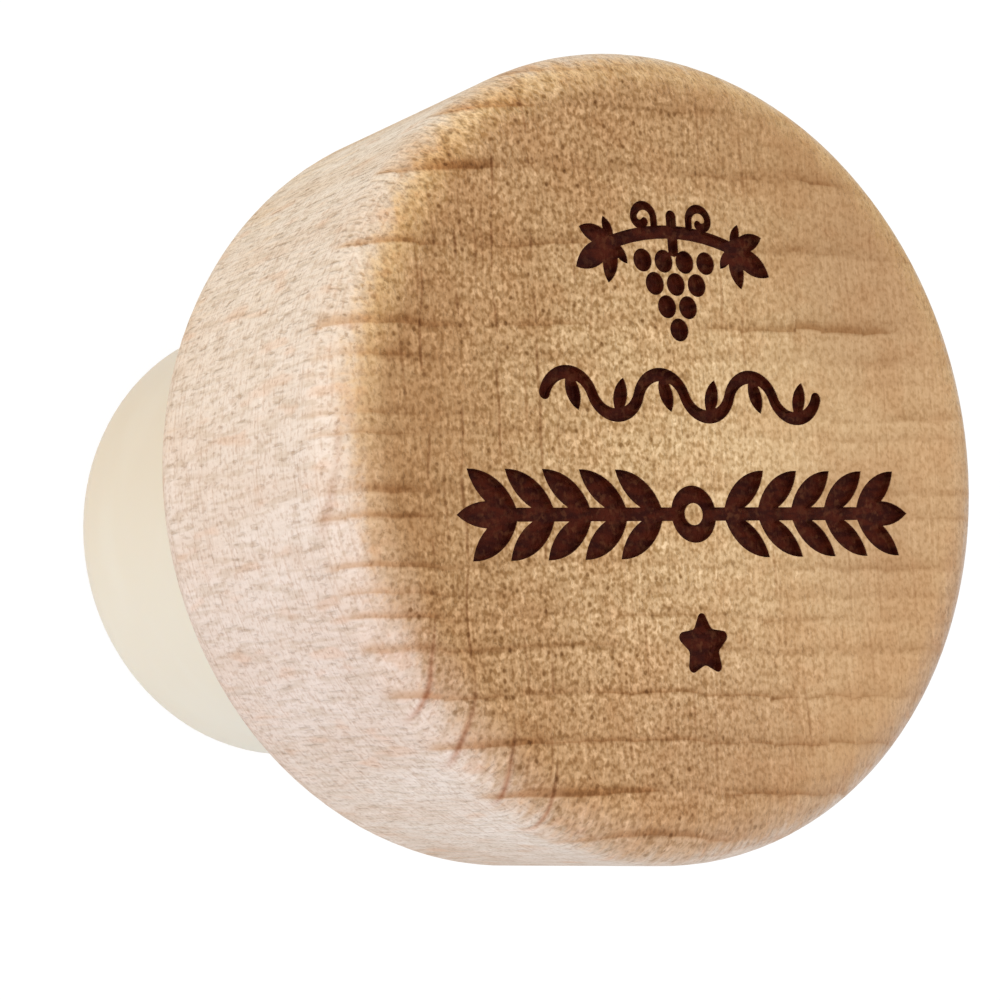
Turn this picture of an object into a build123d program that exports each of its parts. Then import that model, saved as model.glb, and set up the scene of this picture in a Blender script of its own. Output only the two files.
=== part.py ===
"""Wooden bottle stopper: a turned beech head, laser engraved on its end grain, on a moulded shank.

Frame: +Z up, origin on the axis in the plane where the head's underside sits on the bottle's lip.
The head stands above that plane, and the shank that enters the bottle's neck hangs below it.
All lengths are in millimetres and all angles in degrees.
"""

from build123d import *
from math import cos, radians, sin, sqrt
import os

# Turned head: its wall narrows a little towards the bottle
head_face_diameter = 31.7   # both diameters are across the sharp corners, before they are rounded
head_heel_diameter = 30.9
head_height = 14.9
face_edge_radius = 2.2
heel_edge_radius = 2.2

# Moulded shank, and the stud that holds it in the head
shank_diameter = 20.0
shank_length = 17.4
shank_end_radius = 1.9
stud_diameter = 12.0
stud_length = 8.0
stud_chamfer = 0.6
glue_gap = 0.05             # between the stud and the bore's wall, all round
glue_pocket = 0.6           # between the stud's end and the bore's floor
bore_chamfer = 0.8

# Laser engraving in the face: y runs up the ornament, from the middle of the face
engraving_depth = 0.35
stroke_width = 0.52         # the stems and curls

# Grape bunch at the top, on a cane with a leaf at each end
bunch_tip_y = 4.55          # middle of the lowest grape
bunch_rows = 4              # one grape in the lowest row, and one more in each row above it
grape_radius = 0.45
grape_gap = 0.12            # bare wood between two grapes
stalk_length = 1.3
cane_half_length = 2.9
cane_lift = 0.2             # of the cane's ends above the top row of grapes
cane_rise = 0.5
vine_leaf_length = 2.1      # the middle lobe
vine_leaf_droop = 30.0      # of the middle lobe, below the horizontal
curl_x = 0.85
curl_rise = 0.5             # straight start of the curl, up from the cane
curl_radius = 0.48
curl_shrink = 0.6           # the second turn's radius, as a share of the first's
curl_width = 0.36

# Running vine below the bunch
vine_y = 2.0
vine_pitch = 2.2            # length of each half wave
vine_half_waves = 6
vine_rise = 0.8             # height of each half wave
leaflet_length = 1.5
leaflet_width = 0.66
leaflet_tilt = 74.0

# Laurel garland, the bold band
garland_y = -2.55
laurel_pairs = 5            # pairs of leaves on each side of the middle
laurel_pitch = 1.68
laurel_start_x = 1.45
laurel_length = 2.75
laurel_width = 1.0
laurel_tilt = 38.0
rosette_radius = 1.1
rosette_eye_radius = 0.42

# Five-pointed star
star_y = -7.55
star_radius = 1.5           # to the sharp points, before they are rounded
star_waist = 0.5            # inner corners' radius, as a share of star_radius
star_point_rounding = 0.22
star_points = 5

# Places worked out from the sizes above
bore_radius = stud_diameter / 2 + glue_gap
bore_depth = stud_length + glue_pocket
grape_pitch = 2 * grape_radius + grape_gap
grape_row_height = grape_pitch * sqrt(3) / 2
bunch_top_y = bunch_tip_y + (bunch_rows - 1) * grape_row_height + grape_radius
stalk_top_y = bunch_top_y + stalk_length
cane_y = bunch_top_y + cane_lift
face_plane = Plane.XY.offset(head_height)


def leaf(length, width):
    """A pointed leaf, two arcs along +X from its stalk at the origin."""
    with BuildSketch() as blade:
        with BuildLine():
            SagittaArc((0, 0), (length, 0), width / 2)
            SagittaArc((length, 0), (0, 0), width / 2)
        make_face()
    return blade.sketch


def vine_leaf(length):
    """A five-lobed vine leaf along +X: its lobes are pointed leaves that fan out from the stalk."""
    lobes = [(0, 1.0), (48, 0.78), (-48, 0.78), (98, 0.5), (-98, 0.5)]
    with BuildSketch() as blade:
        for angle, share in lobes:
            add(leaf(share * length, 0.44 * share * length), rotation=angle)
    return blade.sketch


laurel_leaf = leaf(laurel_length, laurel_width)
leaflet = leaf(leaflet_length, leaflet_width)
lobed_leaf = vine_leaf(vine_leaf_length)
with BuildLine() as cane:
    SagittaArc((-cane_half_length, cane_y), (cane_half_length, cane_y), cane_rise)
with BuildLine() as curl:
    curl_stem = Line((curl_x, cane_y + cane_rise), (curl_x, cane_y + cane_rise + curl_rise))
    outer_turn = JernArc(curl_stem @ 1, (0, 1), curl_radius, -170)
    JernArc(outer_turn @ 1, outer_turn % 1, curl_radius * curl_shrink, -150)

with BuildSketch() as bunch:
    for row in range(bunch_rows):
        with Locations((0, bunch_tip_y + row * grape_row_height)):
            with GridLocations(grape_pitch, 1, row + 1, 1):
                Circle(grape_radius)
    with Locations((0, (bunch_top_y + stalk_top_y) / 2)):
        SlotOverall(stalk_length + stroke_width, stroke_width, rotation=90)
    SlotArc(cane.wires()[0], stroke_width)
    with Locations((cane_half_length, cane_y)):
        add(lobed_leaf, rotation=-vine_leaf_droop)
    SlotArc(curl.wires()[0], curl_width)
    mirror(about=Plane.YZ)

with BuildSketch() as running_vine:
    half_length = vine_half_waves * vine_pitch / 2
    for wave in range(vine_half_waves):
        side = 1 if wave % 2 == 0 else -1
        left = -half_length + wave * vine_pitch
        with BuildLine(mode=Mode.PRIVATE) as crest:
            SagittaArc((left, vine_y), (left + vine_pitch, vine_y), side * vine_rise)
        SlotArc(crest.wires()[0], stroke_width)
        with Locations((left + vine_pitch / 2, vine_y + side * vine_rise)):
            add(leaflet, rotation=-side * leaflet_tilt)

with BuildSketch() as garland:
    with Locations((0, garland_y)):
        Circle(rosette_radius)
        Circle(rosette_eye_radius, mode=Mode.SUBTRACT)
    for pair in range(laurel_pairs):
        with Locations((laurel_start_x + pair * laurel_pitch, garland_y)):
            add(laurel_leaf, rotation=laurel_tilt)
            add(laurel_leaf, rotation=-laurel_tilt)
    stem_end_x = laurel_start_x + (laurel_pairs - 1) * laurel_pitch
    with Locations((stem_end_x, garland_y)):
        add(laurel_leaf)
    with Locations(((rosette_radius + stem_end_x) / 2, garland_y)):
        SlotOverall(stem_end_x - rosette_radius + stroke_width, stroke_width)
    mirror(about=Plane.YZ)

with BuildSketch() as star:
    with BuildLine():
        corners = []
        for corner in range(2 * star_points):
            reach = star_radius if corner % 2 == 0 else star_radius * star_waist
            angle = radians(90 + 180 * corner / star_points)
            corners.append((reach * cos(angle), star_y + reach * sin(angle)))
        Polyline(*corners, close=True)
    make_face()
    fillet(vertices(), radius=star_point_rounding)

with BuildPart() as wooden_head:
    with BuildSketch(Plane.XZ):
        with BuildLine():
            Polyline((bore_radius + bore_chamfer, 0), (head_heel_diameter / 2, 0),
                     (head_face_diameter / 2, head_height), (0, head_height), (0, bore_depth),
                     (bore_radius, bore_depth), (bore_radius, bore_chamfer), close=True)
        make_face()
        fillet(vertices().group_by(Axis.Y)[-1].sort_by(Axis.X)[-1], radius=face_edge_radius)
        fillet(vertices().group_by(Axis.Y)[0].sort_by(Axis.X)[-1], radius=heel_edge_radius)
    revolve(axis=Axis.Z)
    with BuildSketch(face_plane):
        add(bunch.sketch)
        add(running_vine.sketch)
        add(garland.sketch)
        add(star.sketch)
    extrude(amount=-engraving_depth, mode=Mode.SUBTRACT)
wooden_head.part.label = "wooden_head"

with BuildPart() as stopper_shank:
    with BuildSketch(Plane.XZ):
        with BuildLine():
            Polyline((0, -shank_length), (shank_diameter / 2, -shank_length), (shank_diameter / 2, 0),
                     (stud_diameter / 2, 0), (stud_diameter / 2, stud_length), (0, stud_length),
                     close=True)
        make_face()
        fillet(vertices().group_by(Axis.Y)[0].sort_by(Axis.X)[-1], radius=shank_end_radius)
        chamfer(vertices().group_by(Axis.Y)[-1].sort_by(Axis.X)[-1], length=stud_chamfer)
    revolve(axis=Axis.Z)
stopper_shank.part.label = "stopper_shank"

os.makedirs("parts", exist_ok=True)
export_step(wooden_head.part, "parts/wooden_head.step")
export_step(stopper_shank.part, "parts/stopper_shank.step")
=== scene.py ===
"""Wooden bottle stopper: a turned beech head with a burnt engraving, glued on a moulded cream shank.

The object stands on the end of its shank, with its axis along +Z and the engraved face up.
The engraving reads along +X, and the beech's growth rings lie across Y.
"""

import bpy
import numpy as np
from mathutils import Matrix, Vector


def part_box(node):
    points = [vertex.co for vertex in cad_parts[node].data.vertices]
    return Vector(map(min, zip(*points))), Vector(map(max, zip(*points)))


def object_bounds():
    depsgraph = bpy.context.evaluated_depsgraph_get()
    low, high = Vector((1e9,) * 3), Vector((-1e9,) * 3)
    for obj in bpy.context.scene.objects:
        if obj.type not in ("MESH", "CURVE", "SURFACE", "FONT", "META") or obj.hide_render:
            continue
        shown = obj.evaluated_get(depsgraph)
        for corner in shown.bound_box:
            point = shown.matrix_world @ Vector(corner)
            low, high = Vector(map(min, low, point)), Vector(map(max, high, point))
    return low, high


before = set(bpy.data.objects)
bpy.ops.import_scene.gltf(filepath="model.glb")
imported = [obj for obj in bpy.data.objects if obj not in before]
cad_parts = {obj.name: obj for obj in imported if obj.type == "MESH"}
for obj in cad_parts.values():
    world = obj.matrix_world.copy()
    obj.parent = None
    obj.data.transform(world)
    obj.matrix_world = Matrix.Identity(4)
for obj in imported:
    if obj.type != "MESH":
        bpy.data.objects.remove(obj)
cad_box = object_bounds()
scene = bpy.context.scene
scene.view_settings.view_transform = "Standard"


# ---------------------------------------------------------------------------
# Camera and studio
# One long lens looks down on the face from the engraving's left. The stopper
# stands on a white table under a soft sky, with a large lamp on the left and a
# fainter one above.

MM = 0.001

CAMERA_PLACE = Vector((-71.5, -13.06, 103.5)) * MM
CAMERA_AIM = Vector((-8.96, -2.01, 14.9)) * MM

camera = bpy.data.objects.new("camera", bpy.data.cameras.new("camera"))
scene.collection.objects.link(camera)
camera.data.sensor_width = 36.0
camera.data.lens = 108.0
camera.data.clip_start = 0.01
camera.data.clip_end = 10.0
backward = (CAMERA_PLACE - CAMERA_AIM).normalized()
upward = backward.cross(Vector((1, 0, 0))).normalized()
rightward = upward.cross(backward)
camera.matrix_world = Matrix.Translation(CAMERA_PLACE) @ Matrix(
    (rightward, upward, backward)
).transposed().to_4x4()
scene.camera = camera


def lamp(name, direction, distance, size, level, colour):
    """A round lamp facing the origin. At level 1, it alone lights a facing surface to its own colour."""
    light = bpy.data.lights.new(name, "AREA")
    light.shape = "DISK"
    light.size = size
    light.energy = level * np.pi**2 * distance**2
    light.color = colour
    made = bpy.data.objects.new(name, light)
    toward = Vector(direction).normalized()
    made.location = toward * distance
    made.rotation_mode = "QUATERNION"
    made.rotation_quaternion = toward.to_track_quat("Z", "Y")
    scene.collection.objects.link(made)


lamp(
    "window_lamp",
    direction=(-0.85, -0.10, 0.50),
    distance=0.40,
    size=0.30,
    level=0.34,
    colour=(1.0, 0.985, 0.96),
)
lamp(
    "ceiling_lamp",
    direction=(-0.25, -0.05, 0.92),
    distance=0.50,
    size=0.30,
    level=0.12,
    colour=(1.0, 1.0, 1.0),
)


def seen_directly(tree):
    """1 for rays from the camera, a mirror or glass, and 0 for rays that gather light."""
    path = tree.nodes.new("ShaderNodeLightPath")
    shares = [path.outputs[name] for name in ("Is Camera Ray", "Is Glossy Ray", "Is Transmission Ray")]
    seen = shares[0]
    for share in shares[1:]:
        either = tree.nodes.new("ShaderNodeMath")
        either.operation = "MAXIMUM"
        tree.links.new(seen, either.inputs[0])
        tree.links.new(share, either.inputs[1])
        seen = either.outputs[0]
    return seen


WHITE = (1, 1, 1, 1)


def studio_world(strength):
    """An even white sky. Camera, mirror and glass rays see it at strength 1."""
    world = bpy.data.worlds.new("studio")
    scene.world = world
    world.use_nodes = True
    tree = world.node_tree
    tree.nodes.clear()
    out = tree.nodes.new("ShaderNodeOutputWorld")
    sky = tree.nodes.new("ShaderNodeBackground")
    seen = tree.nodes.new("ShaderNodeBackground")
    mix = tree.nodes.new("ShaderNodeMixShader")
    sky.inputs["Strength"].default_value = strength
    sky.inputs["Color"].default_value = WHITE
    seen.inputs["Color"].default_value = WHITE
    tree.links.new(seen_directly(tree), mix.inputs[0])
    tree.links.new(sky.outputs[0], mix.inputs[1])
    tree.links.new(seen.outputs[0], mix.inputs[2])
    tree.links.new(mix.outputs[0], out.inputs[0])


studio_world(strength=0.77)

TABLE_GAP = 0.01 * MM
TABLE_GREY = (0.8, 0.8, 0.8, 1)
SHADOW_GREY = (0.2, 0.2, 0.2, 1)
TABLE_GLOW = 0.86


def table_top(half_width):
    """A white table at the shank's foot, near white when seen directly, that keeps the soft shadow."""
    mesh = bpy.data.meshes.new("table_top")
    h = half_width
    top = cad_box[0].z - TABLE_GAP
    corners = [(-h, -h, top), (h, -h, top), (h, h, top), (-h, h, top)]
    mesh.from_pydata(corners, [], [(0, 1, 2, 3)])
    table = bpy.data.objects.new("table_top", mesh)
    scene.collection.objects.link(table)
    material = bpy.data.materials.new("table_white")
    material.use_nodes = True
    tree = material.node_tree
    tree.nodes.clear()
    out = tree.nodes.new("ShaderNodeOutputMaterial")
    matt = tree.nodes.new("ShaderNodeBsdfDiffuse")
    faint = tree.nodes.new("ShaderNodeBsdfDiffuse")
    glow = tree.nodes.new("ShaderNodeEmission")
    lifted = tree.nodes.new("ShaderNodeAddShader")
    mix = tree.nodes.new("ShaderNodeMixShader")
    matt.inputs["Color"].default_value = TABLE_GREY
    faint.inputs["Color"].default_value = SHADOW_GREY
    glow.inputs["Color"].default_value = WHITE
    glow.inputs["Strength"].default_value = TABLE_GLOW
    tree.links.new(faint.outputs[0], lifted.inputs[0])
    tree.links.new(glow.outputs[0], lifted.inputs[1])
    tree.links.new(seen_directly(tree), mix.inputs[0])
    tree.links.new(matt.outputs[0], mix.inputs[1])
    tree.links.new(lifted.outputs[0], mix.inputs[2])
    tree.links.new(mix.outputs[0], out.inputs[0])
    mesh.materials.append(material)


table_top(half_width=1.5)


# ---------------------------------------------------------------------------
# Wooden head
# One piece of beech, turned with its grain along the axis and sanded. The face
# is end grain, tan and full of pores, and the wall is paler side grain.

HEAD_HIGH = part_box("wooden_head")[1]
HEAD_RADIUS = HEAD_HIGH.x / MM
FACE_HEIGHT = HEAD_HIGH.z / MM
FLAT_FACE_RADIUS = 13.4  # just inside the face's rounded edge
WOOD_REACH = 16.5  # a little more than the head's radius, for the graphs of rings and rays

# All places and sizes of the wood are in mm.
# Each growth ring: the place of its dark lower edge along Y, and how dark it is.
RINGS = (
    (16.4, 0.0), (14.6, 0.8), (13.1, 0.6), (10.6, 1.0), (7.65, 1.0), (4.6, 1.0), (3.35, 0.7), (2.6, 0.4),
    (1.25, 0.8), (0.45, 0.6), (-1.7, 0.9), (-2.7, 0.9), (-4.55, 0.9), (-5.6, 0.6), (-6.5, 0.7), (-7.75, 0.9),
    (-9.5, 0.9), (-11.3, 0.9), (-13.2, 0.9), (-14.9, 0.9), (-16.3, 0.0),
)
# The broadest rays, as places along X, and patches of darker wood, as X, Y and reach.
LEFT_RAYS = (-15.35, -12.0, -10.45, -8.75, -6.95)
RIGHT_RAYS = (3.0, 5.7, 7.3, 10.1, 12.6)
BROWN_CLOUDS = ((9.5, 6.5, 6.0), (8.5, -3.0, 4.5), (1.0, -12.5, 6.5))
AMBER_CLOUDS = ((-7.2, 14.0, 2.0), (-10.3, 10.8, 1.4))


def srgb(red, green, blue):
    """A colour written as 0 to 255 on a screen, as the linear colour that a shader takes."""
    share = np.array([red, green, blue]) / 255
    linear = np.where(share <= 0.04045, share / 12.92, ((share + 0.055) / 1.055) ** 2.4)
    return (*(float(c) for c in linear), 1.0)


class Recipe:
    """Writes nodes into one tree. Each method gives back the output socket of what it wrote."""

    def __init__(self, tree):
        self.tree = tree

    def node(self, kind, **settings):
        made = self.tree.nodes.new(kind)
        for name, value in settings.items():
            setattr(made, name, value)
        return made

    def feed(self, socket, value):
        """Gives a socket its number or colour, or links another socket to it."""
        if isinstance(value, bpy.types.NodeSocket):
            self.tree.links.new(value, socket)
        else:
            socket.default_value = value

    def math(self, operation, a, b=0.0):
        made = self.node("ShaderNodeMath", operation=operation)
        self.feed(made.inputs[0], a)
        self.feed(made.inputs[1], b)
        return made.outputs[0]

    def add(self, total, *others):
        for value in others:
            total = self.math("ADD", total, value)
        return total

    def times(self, product, *others):
        for value in others:
            product = self.math("MULTIPLY", product, value)
        return product

    def less(self, start, *others):
        for value in others:
            start = self.math("SUBTRACT", start, value)
        return start

    def larger(self, a, b):
        return self.math("MAXIMUM", a, b)

    def length(self, a, b):
        """The square root of a squared plus b squared."""
        return self.math("SQRT", self.add(self.times(a, a), self.times(b, b)))

    def rise(self, value, low, high):
        """A smooth step from 0 at low to 1 at high. It falls instead where low is the larger."""
        made = self.node("ShaderNodeMapRange", interpolation_type="SMOOTHSTEP")
        flip = low > high
        self.feed(made.inputs[0], value)
        self.feed(made.inputs[1], min(low, high))
        self.feed(made.inputs[2], max(low, high))
        self.feed(made.inputs[3], 1.0 if flip else 0.0)
        self.feed(made.inputs[4], 0.0 if flip else 1.0)
        return made.outputs[0]

    def between(self, share, a, b):
        """A straight line from the number a at share 0 to the number b at share 1."""
        made = self.node("ShaderNodeMapRange")
        self.feed(made.inputs[0], share)
        self.feed(made.inputs[3], a)
        self.feed(made.inputs[4], b)
        return made.outputs[0]

    def axes(self, vector):
        made = self.node("ShaderNodeSeparateXYZ")
        self.feed(made.inputs[0], vector)
        return made.outputs[0], made.outputs[1], made.outputs[2]

    def point(self, x, y, z):
        made = self.node("ShaderNodeCombineXYZ")
        for socket, value in zip(made.inputs, (x, y, z)):
            self.feed(socket, value)
        return made.outputs[0]

    def fitted(self, vector, sizes, shift=(0, 0, 0)):
        """The vector divided by the three sizes and shifted, so a texture's cells have those sizes."""
        made = self.node("ShaderNodeMapping")
        self.feed(made.inputs[0], vector)
        self.feed(made.inputs[1], shift)
        self.feed(made.inputs[3], tuple(1 / s for s in sizes))
        return made.outputs[0]

    def noise(self, vector, sizes, detail=1.0, roughness=0.5, shift=(0, 0, 0)):
        made = self.node("ShaderNodeTexNoise")
        self.feed(made.inputs["Vector"], self.fitted(vector, sizes, shift))
        self.feed(made.inputs["Scale"], 1.0)
        self.feed(made.inputs["Detail"], detail)
        self.feed(made.inputs["Roughness"], roughness)
        return made.outputs[0]

    def cell_values(self, made):
        """Distance to the nearest cell centre, in cells, and a value that is one number all over a cell."""
        self.feed(made.inputs["Scale"], 1.0)
        split = self.node("ShaderNodeSeparateColor")
        self.feed(split.inputs[0], made.outputs["Color"])
        return made.outputs["Distance"], split.outputs[0]

    def cells(self, vector, sizes):
        """Uneven cells that fill space, about as large as the three sizes."""
        made = self.node("ShaderNodeTexVoronoi")
        self.feed(made.inputs["Vector"], self.fitted(vector, sizes))
        return self.cell_values(made)

    def stretches(self, value, size):
        """Uneven stretches along one value, about as long as the size."""
        made = self.node("ShaderNodeTexVoronoi", voronoi_dimensions="1D")
        self.feed(made.inputs["W"], self.times(value, 1 / size))
        return self.cell_values(made)

    def blend(self, share, a, b, mode="MIX"):
        """The colour a, with the colour b mixed in or multiplied in by the share."""
        made = self.node("ShaderNodeMix", data_type="RGBA", blend_type=mode, clamp_factor=True)
        self.feed(made.inputs[0], share)
        self.feed(made.inputs[6], a)
        self.feed(made.inputs[7], b)
        return made.outputs[2]

    def curve(self, value, low, high, points):
        """A line graph through the points, over value from low to high."""
        made = self.node("ShaderNodeFloatCurve")
        line = made.mapping.curves[0]
        places = [((x - low) / (high - low), y) for x, y in sorted(points)]
        places = [p for p in places if 0 < p[0] < 1]
        for x, y in places:
            line.points.new(x, y)
        line.points[0].location = (0, places[0][1])
        line.points[-1].location = (1, places[-1][1])
        for p in line.points:
            p.handle_type = "VECTOR"
        made.mapping.update()
        share = self.node("ShaderNodeMapRange")
        self.feed(share.inputs[0], value)
        self.feed(share.inputs[1], low)
        self.feed(share.inputs[2], high)
        self.feed(made.inputs["Factor"], 1.0)
        self.feed(made.inputs["Value"], share.outputs[0])
        return made.outputs[0]


def ring_graph():
    """Darkness across the rings: up slowly from a ring's upper edge, down at once past its lower edge."""
    points = []
    for (upper, _), (lower, depth) in zip(RINGS, RINGS[1:]):
        widest = 0.42 if upper > 0 else 0.34
        band = min(widest, 0.35 * (upper - lower))
        points += [(upper - 0.04, 0.0), (lower + 1.6 * band, 0.20 * depth), (lower + band, 0.48 * depth)]
        points += [(lower + 0.15, 0.85 * depth), (lower + 0.05, depth)]
    return points


def ray_graph(rays):
    """A spike 0.32 mm wide at each ray, and 0 between them."""
    points = [(rays[0] - 0.8, 0.0), (rays[-1] + 0.8, 0.0)]
    for ray in rays:
        points += [(ray - 0.16, 0.0), (ray, 1.0), (ray + 0.16, 0.0)]
    return points


def beech(name):
    """Solid beech as a function of place, so rings, rays and pores run through the piece as they do in wood.

    Rings are sheets across Y that darken towards -Y and end sharply. Rays are thin sheets across X, long in
    Y and a few millimetres high. Pores run along Z, so they are dots on the face and dashes on the wall.
    """
    material = bpy.data.materials.new(name)
    material.use_nodes = True
    wood = Recipe(material.node_tree)
    shader = material.node_tree.nodes["Principled BSDF"]

    place = wood.node("ShaderNodeTexCoord")
    grain = wood.fitted(place.outputs["Object"], (MM, MM, MM))
    x, y, z = wood.axes(grain)
    radius = wood.length(x, y)

    def around(centre_x, centre_y, reach):
        """1 near the centre and 0 from the reach on, in the plane of the face."""
        distance = wood.length(wood.less(x, centre_x), wood.less(y, centre_y))
        return wood.rise(distance, reach, 0.2 * reach)

    # Where the piece is, in shares from 0 to 1.
    near_face = wood.rise(z, 11.9, 13.8)
    near_heel = wood.rise(z, 2.0, 1.0)
    # A share from the lower wall to the upper wall, which carries painted light: warm light on the upper
    # wall and cooler shade below.
    upper_light_share = wood.rise(y, -9.0, 9.0)
    low_left = wood.times(wood.rise(x, 2.0, -6.0), wood.rise(y, 3.0, -5.0))
    top_left = wood.times(wood.rise(y, 8.0, 12.0), wood.rise(x, -3.0, -9.0))
    foot_of_face = wood.times(wood.rise(y, -9.5, -13.0), wood.rise(x, -11.0, -7.0), wood.rise(x, 2.0, -4.0))

    # Pores, and the sanded fibre between them.
    pore_distance, pore_value = wood.cells(grain, (0.29, 0.31, 2.4))
    pore = wood.times(wood.rise(pore_distance, 0.46, 0.14), wood.rise(pore_value, 0.45, 0.90))
    open_pore = wood.times(wood.rise(pore_distance, 0.38, 0.16), wood.rise(pore_value, 0.86, 0.90))
    ridge = wood.rise(pore_distance, 0.50, 0.85)
    fibre = wood.noise(grain, (0.21, 0.24, 1.5), 1.5, 0.6)
    dark_fleck = wood.rise(fibre, 0.52, 0.34)
    light_fleck = wood.times(wood.rise(fibre, 0.47, 0.64), wood.between(ridge, 0.5, 1.3))
    streak = wood.noise(grain, (0.16, 0.21, 0.80), 1.3, shift=(4, 4, 0))
    gouge = wood.rise(streak, 0.40, 0.27)
    fuzz = wood.noise(grain, (0.13, 0.21, 0.18), shift=(3, 3, 3))
    lathe = wood.noise(grain, (1.6, 1.6, 0.11), shift=(7, 3, 3))
    blush = wood.noise(grain, (0.9, 0.8, 2.4), shift=(9, 4, 1))
    cloud = wood.noise(grain, (2.6, 1.9, 9), 2.0, 0.6, shift=(1, 8, 4))
    mottle = wood.noise(grain, (0.80, 0.65, 6), shift=(5, 2, 8))

    # Growth rings, bent a little at the top right, in small steps along X. They show at the two ends.
    drift = wood.less(wood.noise(grain, (5, 9, 40)), 0.5)
    step_distance, step_value = wood.stretches(x, 1.5)
    ring_place = wood.add(
        y,
        wood.times(x, y, -0.0035),
        wood.times(x, x, wood.rise(x, 0.0, 3.0), wood.rise(y, 6.5, 9.5), 0.0055),
        wood.times(drift, 0.6),
        wood.times(wood.less(step_value, 0.5), 0.16),
        wood.times(step_distance, step_distance, 0.15),
    )
    ring = wood.curve(ring_place, -WOOD_REACH, WOOD_REACH, ring_graph())
    ring_patch = wood.rise(wood.noise(grain, (4.2, 0.9, 14), 1.5, shift=(2, 5, 1)), 0.34, 0.58)
    ring_share = wood.add(
        wood.between(ring_patch, 0.20, 0.60),
        wood.times(wood.rise(radius, 11.5, 14.0), wood.rise(x, 2.0, -8.0), 0.38),
        wood.times(wood.rise(x, -3.0, -8.0), wood.rise(y, 1.5, 3.5), 0.10),
        wood.times(wood.rise(x, 2.0, 7.0), wood.rise(x, 14.0, 8.0), wood.rise(y, -2.0, 3.0), 0.16),
        wood.times(wood.rise(y, -4.0, -7.0), wood.rise(x, 14.0, -2.0), 0.16),
    )
    ring = wood.times(ring, ring_share, wood.larger(wood.rise(z, 12.0, 13.6), wood.rise(z, 0.9, 0.2)))
    ring_line = wood.rise(ring, 0.35, 0.72)

    # Rays: the broadest show near the face and the heel, with many fine ones between.
    meander = wood.times(wood.less(wood.noise(grain, (5, 3.4, 9)), 0.5), 0.7)
    ray_place = wood.add(x, wood.times(y, -0.03), meander)
    broad = wood.larger(
        wood.curve(ray_place, -WOOD_REACH, -6.0, ray_graph(LEFT_RAYS)),
        wood.times(wood.curve(ray_place, 2.0, 14.5, ray_graph(RIGHT_RAYS)), 0.6),
    )
    ray_patch = wood.rise(wood.noise(grain, (0.9, 1.6, 9), shift=(3, 1, 2)), 0.40, 0.58)
    ray_patch = wood.larger(ray_patch, wood.times(wood.rise(radius, 12.8, 14.2), low_left))
    broad = wood.times(broad, ray_patch, wood.larger(wood.rise(z, 12.3, 14.1), near_heel))
    broad_line = wood.rise(broad, 0.35, 0.90)
    across_rays = wood.point(ray_place, y, z)
    ray_distance, _ = wood.cells(across_rays, (0.36, 9, 2.6))
    fine_ray = wood.rise(ray_distance, 0.22, 0.08)
    pale_ray = wood.times(wood.rise(ray_distance, 0.52, 0.40), wood.rise(ray_distance, 0.26, 0.34))
    ray_bar = wood.noise(across_rays, (0.40, 4, 2.2))

    # End grain or side grain: how far in from the wall, in mm, made ragged by the fibre and the rays.
    inward = wood.add(
        wood.less(HEAD_RADIUS, radius),
        wood.less(fibre, 0.5),
        wood.times(wood.less(ray_bar, 0.5), 0.8),
        wood.times(y, y, 0.002),
        wood.times(top_left, near_face, 0.25),
        wood.times(foot_of_face, near_face, 0.40),
    )
    turned = wood.rise(inward, 0.30, 1.40)
    end_share = wood.rise(inward, 0.80, 2.60)

    # Base tone: pale wall, amber or rosy rim, and a tan face that is palest in its middle. The change of the
    # wall and rim along Y is painted light: rosy and cool below, amber and warm above, and brightest towards
    # the top, where light from above falls on the upper wall.
    side = wood.blend(upper_light_share, srgb(226, 209, 199), srgb(236, 217, 196))
    side = wood.blend(wood.rise(y, -9.0, -15.0), side, srgb(234, 221, 211))
    side = wood.blend(wood.rise(y, 7.0, 13.0), side, srgb(245, 229, 208))
    rim = wood.blend(upper_light_share, srgb(204, 172, 143), srgb(222, 184, 132))
    rim = wood.blend(wood.rise(y, 9.0, 14.0), rim, srgb(236, 199, 147))
    low_right = wood.rise(wood.less(wood.times(x, 0.80), wood.times(y, 0.55)), -8.0, 13.0)
    outer_face = wood.blend(low_right, srgb(180, 139, 96), srgb(201, 160, 117))
    outer_face = wood.blend(top_left, outer_face, srgb(188, 148, 105))
    middle_face = wood.blend(low_right, srgb(208, 174, 128), srgb(219, 184, 140))
    from_middle = wood.length(wood.times(wood.less(x, 2.0), 0.9), y)
    end = wood.blend(wood.rise(from_middle, 14.5, 1.0), outer_face, middle_face)
    colour = wood.blend(turned, side, rim)
    colour = wood.blend(end_share, colour, end)

    def stain(share, side_strength, end_strength, tint, end_place=end_share):
        """The colour multiplied by the tint, by one strength on side grain and another on end grain."""
        strength = wood.between(end_place, side_strength, end_strength)
        return wood.blend(wood.times(share, strength), colour, (*tint, 1.0), "MULTIPLY")

    # Broad patches. The face is calmest on the right.
    calm = wood.between(wood.rise(x, 0.0, 11.0), 1.0, 0.4)
    lively = wood.times(end_share, calm)
    colour = stain(wood.rise(cloud, 0.42, 0.64), 0.30, 0.50, (0.90, 0.80, 0.72))
    colour = stain(wood.rise(mottle, 0.47, 0.27), 0.0, 0.45, (0.80, 0.71, 0.60), lively)
    colour = stain(wood.rise(mottle, 0.53, 0.73), 0.0, 0.45, (1.12, 1.15, 1.19), lively)
    for patch in BROWN_CLOUDS:
        colour = stain(around(*patch), 0.0, 0.60, (0.84, 0.79, 0.78))
    for patch in AMBER_CLOUDS:
        colour = stain(around(*patch), 0.28, 0.28, (0.80, 0.63, 0.42))
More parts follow.
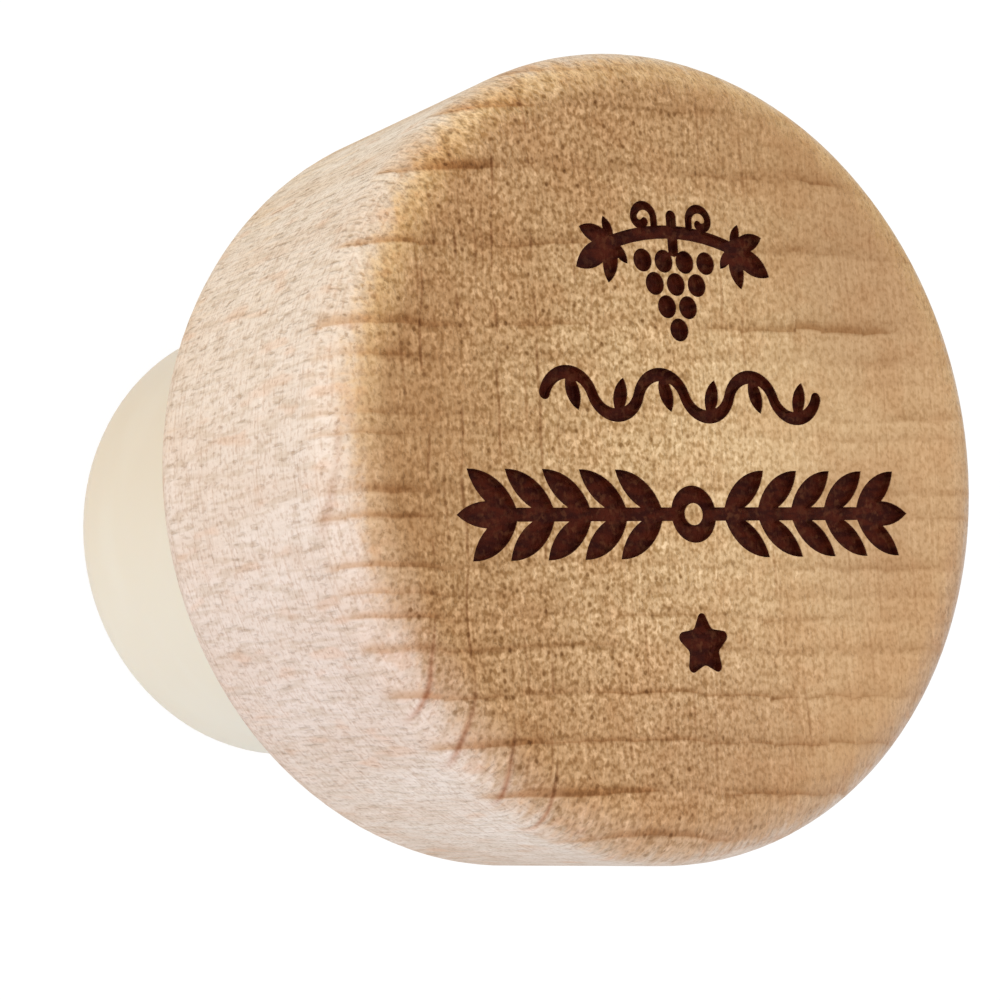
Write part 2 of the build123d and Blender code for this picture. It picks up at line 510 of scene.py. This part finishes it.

    # Turned wall: lathe marks around it, fuzz, rosy patches, and short gouges along the grain. The gouges
    # are recesses in the relief below, and their darker colour is painted shade, strongest on the upper
    # wall. The light streaks are painted highlights on the raised grain.
    colour = stain(wood.rise(lathe, 0.46, 0.30), 0.40, 0.0, (0.78, 0.68, 0.60))
    colour = stain(wood.rise(lathe, 0.56, 0.72), 0.40, 0.0, (1.10, 1.12, 1.13))
    colour = stain(wood.rise(fuzz, 0.48, 0.32), 0.50, 0.0, (0.72, 0.62, 0.55))
    colour = stain(wood.rise(fuzz, 0.55, 0.70), 0.25, 0.0, (1.08, 1.09, 1.10))
    colour = stain(wood.rise(blush, 0.58, 0.72), 0.65, 0.0, (0.98, 0.86, 0.78))
    # Painted shade in the gouges, stronger towards the upper wall.
    gouge_shade = wood.times(gouge, wood.between(upper_light_share, 0.35, 0.9))
    colour = stain(gouge_shade, 0.85, 0.0, (0.72, 0.64, 0.55))
    # Painted highlight on the raised streaks.
    colour = stain(wood.rise(streak, 0.58, 0.72), 0.40, 0.0, (1.10, 1.11, 1.12))

    # Rings and rays.
    colour = stain(ring, 0.75, 0.0, (0.78, 0.58, 0.40))
    colour = stain(ring, 0.0, 0.75, (0.52, 0.39, 0.24))
    colour = stain(ring_line, 0.35, 0.60, (0.66, 0.50, 0.32))
    rust = wood.times(ring, top_left, wood.rise(radius, 13.2, 14.2))
    colour = stain(rust, 0.7, 0.7, (0.76, 0.56, 0.36))
    colour = stain(fine_ray, 0.12, 0.45, (0.62, 0.48, 0.36), lively)
    colour = stain(pale_ray, 0.10, 0.35, (1.30, 1.38, 1.50), lively)
    colour = stain(wood.times(broad, low_left), 0.90, 0.0, (0.64, 0.42, 0.33))
    colour = stain(broad_line, 0.0, 0.60, (0.50, 0.35, 0.22))
    colour = stain(wood.times(broad_line, ring), 0.6, 0.6, (0.60, 0.48, 0.34))

    # Pores and flecks, coarsest at the top left and finest on the right, at the left rim, above and below.
    coarse = wood.less(
        wood.between(top_left, 1.0, 1.9),
        wood.times(wood.rise(x, -4.0, 9.0), 0.82),
        wood.times(around(-15.0, 0.5, 8.5), 0.40),
        wood.times(wood.rise(y, 13.5, 15.5), 0.35),
        wood.times(wood.rise(y, -8.0, -13.0), 0.20),
    )
    grit = wood.times(turned, coarse)
    light_grit = wood.times(grit, wood.between(end_share, 0.3, 1.0))
    colour = stain(pore, 0.0, 0.76, (0.42, 0.31, 0.15), grit)
    colour = stain(open_pore, 0.0, 0.30, (0.50, 0.37, 0.24), grit)
    colour = stain(dark_fleck, 0.25, 0.70, (0.55, 0.44, 0.27), grit)
    colour = stain(light_fleck, 0.05, 0.95, (1.42, 1.52, 1.72), light_grit)

    # Burnt engraving: all that is sunk below the face, but neither the rounded rim nor the bore.
    burnt = wood.times(
        wood.rise(z, FACE_HEIGHT - 0.015, FACE_HEIGHT - 0.06),
        wood.rise(z, FACE_HEIGHT - 0.6, FACE_HEIGHT - 0.5),
        wood.rise(radius, FLAT_FACE_RADIUS, FLAT_FACE_RADIUS - 0.2),
    )
    scorch = wood.noise(grain, (0.9, 0.35, 8), 2.0, 0.6, shift=(6, 2, 0))
    char = wood.blend(wood.rise(scorch, 0.34, 0.66), srgb(46, 6, 0), srgb(72, 22, 5))
    char = wood.blend(wood.times(light_fleck, 0.30), char, srgb(110, 66, 40))
    colour = wood.blend(burnt, colour, char)
    wood.feed(shader.inputs["Base Color"], colour)

    # Relief of fibre, gouges and lathe marks, deepest on the upper wall and least on the face's right.
    height = wood.add(fibre, wood.times(fuzz, 0.6), wood.times(streak, 0.8), wood.times(lathe, 0.3))
    height = wood.less(height, wood.times(gouge, 0.5))
    wall_relief = wood.between(wood.rise(y, 0.0, 8.0), 1.4, 3.0)
    face_share = wood.rise(radius, 15.0, 13.3)
    height = wood.times(height, wood.between(face_share, wall_relief, calm))
    bump = wood.node("ShaderNodeBump")
    bump.inputs["Strength"].default_value = 0.5
    bump.inputs["Distance"].default_value = 0.1 * MM
    wood.feed(bump.inputs["Height"], height)
    wood.feed(shader.inputs["Normal"], bump.outputs[0])
    shader.inputs["Roughness"].default_value = 0.7
    shader.inputs["Specular IOR Level"].default_value = 0.12
    return material


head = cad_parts["wooden_head"]
head.data.materials[0] = beech("sanded_beech")


# ---------------------------------------------------------------------------
# Shank
# One moulding in cream thermoplastic elastomer, satin and slightly clear, with
# a stud on top that is glued in the head's blind bore.

def cream_elastomer(name):
    """Cream elastomer with faint clouds, and painted shade that makes it yellower and a little darker
    towards +Y.
    """
    material = bpy.data.materials.new(name)
    material.use_nodes = True
    cream = Recipe(material.node_tree)
    shader = material.node_tree.nodes["Principled BSDF"]
    place = cream.node("ShaderNodeTexCoord")
    millimetres = cream.fitted(place.outputs["Object"], (MM, MM, MM))
    _, y, _ = cream.axes(millimetres)
    cloud = cream.noise(millimetres, (6, 6, 3), 2.0)
    # Painted shade: yellower and a little darker towards +Y.
    colour = cream.blend(cream.rise(y, -6.0, 7.0), srgb(232, 225, 210), srgb(229, 214, 189))
    colour = cream.blend(cream.rise(cloud, 0.35, 0.65), colour, (0.985, 0.97, 0.95, 1.0), "MULTIPLY")
    cream.feed(shader.inputs["Base Color"], colour)
    shader.inputs["Roughness"].default_value = 0.42
    shader.inputs["Subsurface Weight"].default_value = 0.15
    shader.inputs["Subsurface Radius"].default_value = (1.0, 0.7, 0.4)
    shader.inputs["Subsurface Scale"].default_value = 2 * MM
    return material


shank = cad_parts["stopper_shank"]
shank.data.materials[0] = cream_elastomer("cream_elastomer")
